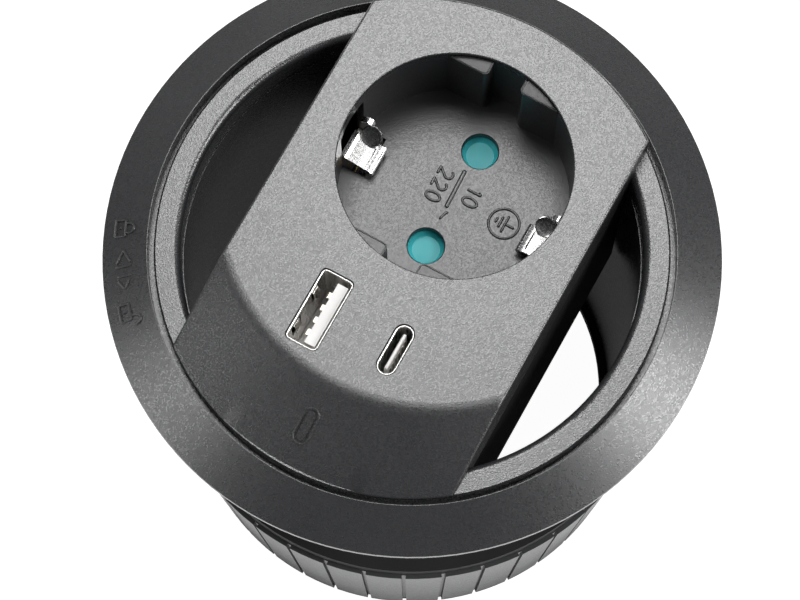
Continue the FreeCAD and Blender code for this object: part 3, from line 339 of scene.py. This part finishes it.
ANTHRACITE = ((0.018, 0.0185, 0.020), (0.024, 0.0245, 0.026))
finishes = {
    "sleeve_plastic": satin_plastic("sleeve_plastic_finish", *ANTHRACITE, 0.31, relief=0.09),
    "cover_plastic": satin_plastic("cover_plastic_finish", *ANTHRACITE, 0.29),
    "cup_plastic": satin_plastic("cup_plastic_finish", *ANTHRACITE, 0.35, relief=0.05, gloss=0.84),
    "nut_plastic": satin_plastic("nut_plastic_finish", (0.034, 0.035, 0.037), (0.044, 0.045, 0.047), 0.36),
    "case_plastic": satin_plastic("case_plastic_finish", (0.010, 0.010, 0.011), (0.014, 0.014, 0.015),
                                  0.6, gloss=0.4),
    "gland_plastic": satin_plastic("gland_plastic_finish", (0.018, 0.018, 0.02), (0.024, 0.024, 0.026), 0.5),
    "washer_rubber": soft_rubber("washer_rubber_finish", (0.016, 0.016, 0.017), (0.026, 0.026, 0.027)),
    "shutter_plastic": smooth_plastic("shutter_plastic_finish", (0.04, 0.41, 0.44), (0.055, 0.47, 0.50),
                                      0.3, 0.18),
    "carrier_plastic": smooth_plastic("carrier_plastic_finish", (0.5, 0.47, 0.42), (0.58, 0.56, 0.5), 0.42),
    "tongue_white": smooth_plastic("tongue_white_finish", (0.76, 0.75, 0.73), (0.82, 0.81, 0.80), 0.4),
    "block_plastic": smooth_plastic("block_plastic_finish", (0.55, 0.55, 0.52), (0.64, 0.64, 0.61), 0.4),
    "chip_black": smooth_plastic("chip_black_finish", (0.015, 0.015, 0.016), (0.025, 0.025, 0.026), 0.45),
    "capacitor_sleeve": smooth_plastic("capacitor_sleeve_finish", (0.015, 0.022, 0.055),
                                       (0.025, 0.036, 0.085), 0.25),
    "fuse_case": smooth_plastic("fuse_case_finish", (0.1, 0.016, 0.016), (0.14, 0.024, 0.022), 0.3),
    "core_ferrite": soft_rubber("core_ferrite_finish", (0.042, 0.042, 0.045), (0.06, 0.06, 0.062)),
    "spring_steel": sheet_metal("spring_steel_finish", (0.5, 0.5, 0.5), (0.62, 0.62, 0.62), 0.3),
    "screw_steel": sheet_metal("screw_steel_finish", (0.5, 0.5, 0.5), (0.6, 0.6, 0.58), 0.34),
    "contact_brass": sheet_metal("contact_brass_finish", (0.62, 0.44, 0.2), (0.78, 0.58, 0.28), 0.28),
    "strip_gold": sheet_metal("strip_gold_finish", (0.72, 0.68, 0.58), (0.84, 0.80, 0.70), 0.3),
    "clip_metal": sheet_metal("clip_metal_finish", (0.74, 0.74, 0.73), (0.82, 0.82, 0.81), 0.24, relief=0.03),
    "port_shell": sheet_metal("port_shell_finish", (0.80, 0.78, 0.75), (0.88, 0.86, 0.84), 0.24),
    "board_green": lacquered_board("board_green_finish"),
    "winding_tape": wound_wire("winding_tape_finish", (0.55, 0.38, 0.05), (0.75, 0.55, 0.1), 1.2, 0.35, 0.0),
    "coil_wire": wound_wire("coil_wire_finish", (0.42, 0.16, 0.08), (0.78, 0.38, 0.2), 0.6),
}
slot_of_node = {part["node"]: part["material_slot"] for part in frame["record"]["subparts"]}
for node, piece in nodes.items():
    for place_in_list in range(len(piece.material_slots)):
        piece.material_slots[place_in_list].material = finishes[slot_of_node[node]]


# ---------------------------------------------------------------- signs in the plastic

def on_flange(sign_angle):
    """Places a sign's own (across, inward, height) lengths on the flange's sloping top, at an angle."""
    slope = (FLANGE_TOP - FLANGE_EDGE) / (FLANGE_OUTER - FLANGE_CREST)

    def place(across, inward, rise):
        distance = SIGN_RADIUS - inward
        turn = math.radians(sign_angle) + across / SIGN_RADIUS
        height = FLANGE_EDGE + (FLANGE_OUTER - distance) * slope + rise
        return np.stack([distance * np.cos(turn), distance * np.sin(turn), height], axis=-1)

    return place


def on_recess_floor(centre):
    """Places a sign's own (reading direction, upward, height) lengths on the recess floor: it reads
    towards -Y and its top is towards +X."""
    def place(along, up, rise):
        return np.stack([centre[0] + up, centre[1] - along, RECESS_FLOOR + rise + 0 * up], axis=-1)

    return place


def on_slope(across, along, rise):
    """Places a rim's own lengths on the cover's conical slope, round the middle of its slot mark."""
    y = MARK_Y + along
    fall = (np.hypot(across, y - SLOPE_CENTRE) - SLOPE_START) * SLOPE_FALL
    return np.stack([across, y, FACE_TOP - fall + rise], axis=-1)


def on_guide(side, end):
    """Places an edge's own (distance from the middle plane, distance out past the guide's flat, height)
    lengths on the sloping top of one of the four guide blocks."""
    def place(across, outward, rise):
        return np.stack([side * across, RECESS_Y + end * (GUIDE_FLAT + outward),
                         GUIDE_LOW + outward * GUIDE_RISE + rise], axis=-1)

    return place


def lock_sign(place, is_open):
    """A square body with a bow above it, hooked into the body or swung clear of it."""
    body = [(-1.35, -1.6), (1.35, -1.6), (1.35, 0.1), (-1.35, 0.1), (-1.35, -1.6)]
    slit = [(0.0, -1.05), (0.0, -0.4)]
    shift = 1.6 if is_open else 0.0
    bow = np.vstack([[(shift - 0.8, 0.1)], arc((shift, 0.8), 0.8, 180, 0, 14),
                     [(shift + 0.8, 0.4 if is_open else 0.1)]])
    return [ridge(body, place, 0.46, 0.4, True), ridge(slit, place, 0.36, 0.34), ridge(bow, place, 0.46, 0.4)]


flange_ridges = lock_sign(on_flange(-155.4), False) + lock_sign(on_flange(-138.0), True)
flange_ridges += [
    ridge([(1.3, 1.25), (-0.9, 0.0), (1.3, -1.25)], on_flange(-149.6), 0.4, 0.32),
    ridge([(0.0, -1.45), (0.0, 1.3)], on_flange(-147.4), 0.42, 0.34),
    ridge([(0.0, -1.25), (0.0, 1.3)], on_flange(-145.4), 0.42, 0.34),
    ridge([(-0.9, 0.9), (0.7, -0.1), (-0.9, -1.1)], on_flange(-143.6), 0.4, 0.32),
]
surface_piece("flange_signs", *joined(flange_ridges), finishes["sleeve_plastic"], "sleeve", "sleeve_plastic")

slot_rim = np.vstack([arc((0, 1.65), 1.3, 0, 180), arc((0, -1.65), 1.3, 180, 360)])
slot_rim = np.vstack([slot_rim, slot_rim[:1]])
surface_piece("slot_mark_rim", *ridge(slot_rim, on_slope, 0.34, 0.2, True), finishes["cover_plastic"],
              "insert", "cover_plastic")

ONE = [[(-0.45, 0.8), (0.05, 1.3), (0.05, -1.3)]]
TWO = [np.vstack([arc((0, 0.55), (0.7, 0.75), 165, -25, 16), [(-0.7, -1.3), (0.75, -1.3)]])]
NOUGHT = [arc((0, 0), (0.72, 1.3), 90, 450, 32)]


def number_ridges(digits, centres):
    """Ridges of a row of digits, each with its own centre on the recess floor."""
    parts = []
    for digit, centre in zip(digits, centres):
        for stroke in digit:
            is_loop = np.allclose(stroke[0], stroke[-1])
            parts.append(ridge(stroke, on_recess_floor(centre), 0.52, 0.26, is_loop))
    return parts


recess_ridges = number_ridges([ONE, NOUGHT], [(2.55, 16.9), (2.75, 15.0)])
recess_ridges += number_ridges([TWO, TWO, NOUGHT], [(-3.2, 17.6), (-3.2, 15.3), (-3.2, 13.0)])
floor = on_recess_floor((0.0, 0.0))
recess_ridges.append(ridge([(-19.7, -0.6), (-12.2, -0.3)], floor, 0.8, 0.26))
recess_ridges.append(ridge([(-11.75, 0.55), (-11.5, 0.15), (-9.9, -0.35)], floor, 0.5, 0.24))
earth = on_recess_floor((9.56, 14.46))
recess_ridges.append(ridge(arc((0, 0), 2.6, 0, 360, 64), earth, 0.5, 0.26, True))
recess_ridges.append(ridge([(0, 2.0), (0, 0.2)], earth, 0.5, 0.26))
for height, half in ((0.2, 1.7), (-0.6, 1.15), (-1.4, 0.6)):
    recess_ridges.append(ridge([(-half, height), (half, height)], earth, 0.5, 0.26))
guide_edge = np.vstack([[(3.2, 2.5)], arc((3.9, 0.88), 0.7, 180, 270, 8), [(9.8, 0.18)]])
for side in (-1, 1):
    recess_ridges += [ridge(guide_edge, on_guide(side, end), 0.3, 0.14) for end in (-1, 1)]
surface_piece("recess_signs", *joined(recess_ridges), finishes["cup_plastic"], "insert", "cup_plastic")


# ---------------------------------------------------------------- earth clips

def sheet_strip(path, y_low, y_high, thickness, columns=9):
    """A bent strip: the (x, z) path's points moved half a thickness to each side, carried from one y
    to another, its two faces joined round the rim."""
    path = resampled(path, 0.2)
    along = np.gradient(path, axis=0)
    along /= np.linalg.norm(along, axis=1)[:, None]
    aside = np.stack([-along[:, 1], along[:, 0]], axis=1) * thickness / 2
    ring = np.vstack([path + aside, (path - aside)[::-1]])
    y = np.linspace(y_low, y_high, columns)
    wall = np.stack([np.broadcast_to(ring[None, :, 0], (columns, len(ring))),
                     np.broadcast_to(y[:, None], (columns, len(ring))),
                     np.broadcast_to(ring[None, :, 1], (columns, len(ring)))], axis=-1)
    faces = grid_faces(columns, len(ring), closes_columns=True)
    half = len(path)
    first = np.arange(half - 1)
    end = [np.stack([first, first + 1, 2 * half - 2 - first, 2 * half - 1 - first], axis=1) + start
           for start in (0, (columns - 1) * 2 * half)]
    return wall, np.concatenate([faces, *end])


def folded_ear(centre, radius, thickness, lean):
    """A round ear with a slightly raised rim: rings of points about the X axis's own circle, both
    faces and the edge between them, leaning back from upright by the stated angle."""
    turn = np.linspace(0, 2 * math.pi, 48, endpoint=False)
    ring = np.array([(0.0, -0.12), (0.55, -0.10), (0.85, -0.03), (0.94, 0.03), (1.0, 0.0), (1.02, -0.05),
                     (1.0, -0.4), (0.94, -0.46), (0.55, -0.5), (0.0, -0.5)])
    x = radius * ring[:, :1] * np.cos(turn)
    up = radius * ring[:, :1] * np.sin(turn)
    front = np.broadcast_to(ring[:, 1:] * thickness / 0.4, x.shape)
    tilt = math.radians(lean)
    points = np.stack([centre[0] + x,
                       centre[1] + up * math.cos(tilt) - front * math.sin(tilt),
                       centre[2] + up * math.sin(tilt) + front * math.cos(tilt)], axis=-1)
    return points, grid_faces(len(ring), len(turn), closes_columns=True)


def make_earth_clip(side, name, body):
    """A sprung strip up the recess wall whose head lies out over the recess, with a round ear folded
    up at its far edge and a small hook on the ear; the left clip is the right one's mirror image."""
    head = np.array([(16.7, -10.5), (16.2, -9.6), (15.0, -8.6), (14.1, -7.6), (13.75, -7.0), (13.9, -6.6),
                     (14.6, -6.35), (16.6, -5.95), (18.4, -5.55), (19.0, -5.2), (19.25, -4.4)])
    plate = sheet_strip(head, 10.8, 15.9, 0.5)
    crease = sheet_strip([(14.95, -6.1), (15.1, -5.96), (15.25, -6.06)], 11.4, 14.9, 0.1, 3)
    lip = sheet_strip([(13.72, -6.9), (13.8, -6.55), (14.05, -6.32)], 11.0, 15.7, 0.2, 3)
    foot = sheet_strip([(16.95, -21.0), (16.95, -15.0), (16.9, -12.0), (16.6, -10.3)], 11.8, 16.8, 0.7)
    ear = folded_ear((16.5, 15.95, -4.3), 1.85, 0.45, 42)
    hook = sheet_strip([(17.0, -3.3), (17.3, -2.5), (17.9, -2.2), (18.6, -2.5), (19.0, -3.2)], 17.0, 18.0,
                       0.4, 5)
    points, faces = joined([plate, crease, lip, foot, ear, hook])
    points = points * [side, 1, 1]
    return surface_piece(name, points, faces, finishes["clip_metal"], body, "clip_metal", 30)


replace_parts(make_earth_clip(1, "earth_clip_right_shaped", "clip_right"), "earth_clip_right")
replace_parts(make_earth_clip(-1, "earth_clip_left_shaped", "clip_left"), "earth_clip_left")


# ---------------------------------------------------------------- charging port shells

def port_wall(centre_x, length, width, corner, wall, depth, windows=()):
    """A drawn shell: the mouth's rounded loop carried up the outside, over a rim that is half a circle
    across the wall, and down the inside; a window leaves out the faces inside its (side, y, z) limits."""
    outer_loop = rounded_loop(length, width, corner)
    inner_loop = rounded_loop(length - 2 * wall, width - 2 * wall, corner - wall)
    levels = np.linspace(-depth, 0, 40)
    swing = np.linspace(math.pi, 0, 11)
    across, rise = (np.cos(swing) + 1) / 2, (np.sin(swing) - 1) * wall / 2
    blend = np.concatenate([np.zeros(len(levels) - 1), across, np.ones(len(levels) - 1)])
    height = np.concatenate([levels[:-1] - wall / 2, rise, levels[:-1][::-1] - wall / 2])
    loop = outer_loop[None] * (1 - blend)[:, None, None] + inner_loop[None] * blend[:, None, None]
    points = np.concatenate([loop, np.broadcast_to(height[:, None, None], (*loop.shape[:2], 1))], axis=-1)
    points = points + [centre_x, PORTS_Y, PORT_TOP]
    faces = grid_faces(len(height), len(outer_loop), closes_columns=True)
    middle = points.reshape(-1, 3)[faces].mean(axis=1) - [centre_x, PORTS_Y, PORT_TOP]
    kept = np.ones(len(faces), bool)
    for side, y_low, y_high, z_low, z_high in windows:
        kept &= ~((middle[:, 0] * side > width / 2 - wall * 1.3) & (middle[:, 1] > y_low)
                  & (middle[:, 1] < y_high) & (middle[:, 2] > z_low) & (middle[:, 2] < z_high))
    return points, faces[kept]


def spring_tab(centre_x, side, y_low, y_high, z_low, z_high, wall_x, bulge):
    """A tongue cut from the shell's wall that bows into the mouth, as a strip whose distance from the
    wall is half a wave of its height."""
    z = np.linspace(z_low, z_high, 14)
    bow = np.sin(np.linspace(0.15, 0.95, 14) * math.pi) * bulge
    path = np.stack([side * (wall_x - bow), z], axis=1)
    points, faces = sheet_strip(path, y_low, y_high, 0.22, 4)
    return points + [centre_x, PORTS_Y, PORT_TOP], faces


mouth_windows = [(-1, -4.6, -2.0, -5.2, -1.0), (-1, 1.6, 4.2, -5.2, -1.0)]
shell_parts = [
    port_wall(PORT_A_X, 13.1, 5.7, 0.8, 0.3, 13.2, mouth_windows),
    spring_tab(PORT_A_X, -1, -4.1, -2.5, -5.2, -1.3, 2.6, 0.55),
    spring_tab(PORT_A_X, -1, 2.1, 3.7, -5.2, -1.3, 2.6, 0.55),
]
port_a = surface_piece("usb_a_shell_drawn", *joined(shell_parts), finishes["port_shell"], "insert",
                       "port_shell", 35)
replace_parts(port_a, "usb_a_shell")
port_c = surface_piece("usb_c_shell_drawn", *port_wall(PORT_C_X, 9.0, 3.3, 1.64, 0.3, 13.3),
                       finishes["port_shell"], "insert", "port_shell", 35)
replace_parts(port_c, "usb_c_shell")


def sprung_contacts():
    """The rectangular port's four contacts: flat strips up the tongue's face whose heads bow off it and
    come back to it at the tip."""
    path = np.array([(-0.12, -4.1), (-0.15, 3.0), (-0.6, 4.6), (-0.75, 5.0), (-0.7, 5.25), (-0.12, 5.5)])
    parts = []
    for place in range(4):
        middle = PORTS_Y + CONTACT_A_PITCH * (place - 1.5)
        parts.append(sheet_strip(path + [TONGUE_A_FACE, 0], middle - 0.5, middle + 0.5, 0.16, 3))
    return joined(parts)


def slim_tongue():
    """The round-ended port's tongue: a plate's rounded loop carried up at full thickness, then drawn in
    to a narrow tip by the last half millimetre, with a flat end."""
    steps = [(-5.65, 1.0), (6.55, 1.0), (6.85, 0.82), (7.08, 0.6), (7.17, 0.42), (7.2, 0.22), (7.2, 0.02)]
    rings = []
    for height, share in steps:
        loop = rounded_loop(6.7 - 0.7 * (1 - share), 0.7 * max(share, 0.05), 0.34 * max(share, 0.05), 64)
        rings.append(np.column_stack([loop + [PORT_C_X, PORTS_Y], np.full(len(loop), height)]))
    points = np.stack(rings)
    points[-1] = points[-1].mean(axis=0)
    return points, grid_faces(len(rings), 64, closes_columns=True)


def tongue_pads():
    """The round-ended port's contacts: low pads on both faces of the tongue that stop short of its tip."""
    parts = []
    for side in (-1, 1):
        x = PORT_C_X + side * 0.37
        for place in range(6):
            middle = PORTS_Y + CONTACT_C_PITCH * (place - 2.5)
            parts.append(sheet_strip([(x, -5.6), (x, 0.0), (x, 5.7)], middle - 0.17, middle + 0.17, 0.08, 3))
    return joined(parts)


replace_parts(surface_piece("usb_a_contacts_sprung", *sprung_contacts(), finishes["strip_gold"], "insert",
                          "strip_gold", 35), "usb_a_contacts")
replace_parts(surface_piece("usb_c_tongue_slim", *slim_tongue(), finishes["tongue_white"], "insert",
                          "tongue_white", 35), "usb_c_tongue")
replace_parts(surface_piece("usb_c_contact_pads", *tongue_pads(), finishes["strip_gold"], "insert",
                          "strip_gold", 35), "usb_c_contacts")


# ---------------------------------------------------------------- edge of the recess

def recess_edge():
    """The recess's moulded edge: a quarter-circle bead turned about the recess's axis, level with the
    face at its outside and running down the wall at its inside."""
    turn = np.linspace(0, 2 * math.pi, 240, endpoint=False)
    swing = np.linspace(math.pi / 2, math.pi, 7)
    bead, proud = 0.2, 0.006
    inner, outer, low = RECESS_RADIUS - bead, RECESS_RADIUS + 0.06, FACE_TOP - 0.9
    round_edge = np.column_stack([RECESS_RADIUS + bead * np.cos(swing),
                                  FACE_TOP - bead + (bead + proud) * np.sin(swing)])
    profile = np.vstack([[(outer, FACE_TOP - bead), (outer, FACE_TOP + proud)], round_edge,
                         [(inner, low + 0.2), (inner + 0.12, low), (outer, low)]])
    radius, height = profile[:, :1], profile[:, 1:]
    points = np.stack([radius * np.cos(turn), RECESS_Y + radius * np.sin(turn),
                       np.broadcast_to(height, (len(profile), len(turn)))], axis=-1)
    return points, grid_faces(len(profile), len(turn), closes_rows=True, closes_columns=True)


surface_piece("recess_edge_bead", *recess_edge(), finishes["cover_plastic"], "insert", "cover_plastic")


# ---------------------------------------------------------------- floor, light and camera

def ranged(tree, value, start, end, low, high):
    """A value carried from one range to another, kept inside the second, in the floor's material."""
    node = tree.nodes.new("ShaderNodeMapRange")
    for socket, number in (("From Min", start), ("From Max", end), ("To Min", low), ("To Max", high)):
        node.inputs[socket].default_value = number
    tree.links.new(value, node.inputs["Value"])
    return node.outputs["Result"]


def make_floor():
    """A plain white floor under the object that keeps its shadow and shows as a pale ground. For all other
    rays the floor also glows, though it is no lamp. This glow is painted light: full away from the sleeve,
    dimmed to about an eighth inside it, and faded to nothing towards its foot, which is painted shade. The
    reach is measured from the sleeve's origin, 0.085 m above the floor, so both glows stop short of the
    sleeve's foot."""
    grid = np.linspace(-3.0, 3.0, 3)
    x, y = np.meshgrid(grid, grid, indexing="ij")
    points = np.stack([x, y, np.full_like(x, SLEEVE_FOOT - 0.0001)], axis=-1).reshape(-1, 3)
    mesh = bpy.data.meshes.new("floor")
    mesh.from_pydata(points.tolist(), [], grid_faces(3, 3).tolist())
    piece = bpy.data.objects.new("floor", mesh)
    bpy.context.scene.collection.objects.link(piece)
    material = bpy.data.materials.new("floor_white")
    material.use_nodes = True
    tree = material.node_tree
    tree.nodes.clear()
    out = tree.nodes.new("ShaderNodeOutputMaterial")
    paint = tree.nodes.new("ShaderNodeBsdfDiffuse")
    paint.inputs["Color"].default_value = (0.75, 0.75, 0.75, 1)
    pale = tree.nodes.new("ShaderNodeEmission")
    pale.inputs["Strength"].default_value = 0.97
    thin_paint = tree.nodes.new("ShaderNodeBsdfDiffuse")
    thin_paint.inputs["Color"].default_value = (0.3, 0.3, 0.3, 1)
    place = tree.nodes.new("ShaderNodeTexCoord")
    reach = tree.nodes.new("ShaderNodeVectorMath")
    reach.operation = "LENGTH"
    tree.links.new(place.outputs["Object"], reach.inputs[0])
    # painted light: the floor's glow strength, full away from the sleeve, about an eighth inside it and none
    # round its foot
    painted_glow_strength = tree.nodes.new("ShaderNodeMath")
    tree.links.new(ranged(tree, reach.outputs["Value"], 0.095, 0.105, 0.0, 1.0), painted_glow_strength.inputs[0])
    tree.links.new(ranged(tree, reach.outputs["Value"], 0.0915, 0.0925, 0.12, 0.0), painted_glow_strength.inputs[1])
    painted_glow = tree.nodes.new("ShaderNodeEmission")
    tree.links.new(painted_glow_strength.outputs["Value"], painted_glow.inputs["Strength"])
    paint_and_painted_glow = tree.nodes.new("ShaderNodeAddShader")
    tree.links.new(paint.outputs[0], paint_and_painted_glow.inputs[0])
    tree.links.new(painted_glow.outputs[0], paint_and_painted_glow.inputs[1])
    both = tree.nodes.new("ShaderNodeAddShader")
    tree.links.new(thin_paint.outputs[0], both.inputs[0])
    tree.links.new(pale.outputs[0], both.inputs[1])
    seen = tree.nodes.new("ShaderNodeLightPath")
    mix = tree.nodes.new("ShaderNodeMixShader")
    tree.links.new(seen.outputs["Is Camera Ray"], mix.inputs[0])
    tree.links.new(paint_and_painted_glow.outputs[0], mix.inputs[1])
    tree.links.new(both.outputs[0], mix.inputs[2])
    tree.links.new(mix.outputs[0], out.inputs["Surface"])
    mesh.materials.append(material)


def make_softbox(name, azimuth, elevation, distance, size, radiance):
    """A square area light that looks at the object from a direction, with the stated radiance."""
    turn, lift = math.radians(azimuth), math.radians(elevation)
    towards = Vector((math.cos(turn) * math.cos(lift), math.sin(turn) * math.cos(lift), math.sin(lift)))
    light = bpy.data.lights.new(name, "AREA")
    light.shape = "SQUARE"
    light.size = size
    light.energy = radiance * math.pi * size * size
    lamp = bpy.data.objects.new(name, light)
    lamp.location = towards * distance
    lamp.rotation_mode = "QUATERNION"
    lamp.rotation_quaternion = towards.to_track_quat("Z", "Y")
    lamp.visible_camera = False
    bpy.context.scene.collection.objects.link(lamp)


def make_surroundings():
    """A white ground for the camera and a dim room for everything else, brighter towards the floor."""
    world = bpy.data.worlds.new("studio")
    bpy.context.scene.world = world
    world.use_nodes = True
    tree = world.node_tree
    tree.nodes.clear()
    out = tree.nodes.new("ShaderNodeOutputWorld")
    direction = tree.nodes.new("ShaderNodeTexCoord")
    parts = tree.nodes.new("ShaderNodeSeparateXYZ")
    ramp = tree.nodes.new("ShaderNodeValToRGB")
    ramp.color_ramp.elements[0].position = 0.0
    ramp.color_ramp.elements[0].color = (0.85, 0.85, 0.85, 1)
    ramp.color_ramp.elements[1].position = 0.4
    ramp.color_ramp.elements[1].color = (0.14, 0.14, 0.145, 1)
    middle = ramp.color_ramp.elements.new(0.14)
    middle.color = (0.7, 0.7, 0.7, 1)
    room = tree.nodes.new("ShaderNodeBackground")
    ground = tree.nodes.new("ShaderNodeBackground")
    ground.inputs["Color"].default_value = (1, 1, 1, 1)
    seen = tree.nodes.new("ShaderNodeLightPath")
    mix = tree.nodes.new("ShaderNodeMixShader")
    tree.links.new(direction.outputs["Generated"], parts.inputs[0])
    tree.links.new(parts.outputs["Z"], ramp.inputs[0])
    tree.links.new(ramp.outputs[0], room.inputs["Color"])
    tree.links.new(seen.outputs["Is Camera Ray"], mix.inputs[0])
    tree.links.new(room.outputs[0], mix.inputs[1])
    tree.links.new(ground.outputs[0], mix.inputs[2])
    tree.links.new(mix.outputs[0], out.inputs["Surface"])


def make_camera():
    """The photograph's view: nearly overhead, turned so that the bridge runs up to the right."""
    right = Vector((0.87535, 0.48347, -0.00304))
    down = Vector((0.46266, -0.83945, -0.28508))
    forward = Vector((-0.14038, 0.24814, -0.95850))
    data = bpy.data.cameras.new("camera")
    data.sensor_width = 36
    data.lens = 126
    data.clip_start = 0.01
    camera = bpy.data.objects.new("camera", data)
    turn = Matrix((right, -down, -forward)).transposed()
    camera.matrix_world = Matrix.Translation(Vector((0.06597, -0.12079, 0.43629))) @ turn.to_4x4()
    bpy.context.scene.collection.objects.link(camera)
    bpy.context.scene.camera = camera


make_floor()
make_softbox("overhead_softbox", 114, 68, 1.15, 0.56, 7.9)
make_softbox("left_softbox", -138, 42, 1.2, 0.36, 5.8)
make_softbox("right_softbox", 17, 44, 1.2, 0.44, 12.6)
make_surroundings()
make_camera()
bpy.context.scene.view_settings.view_transform = "Standard"
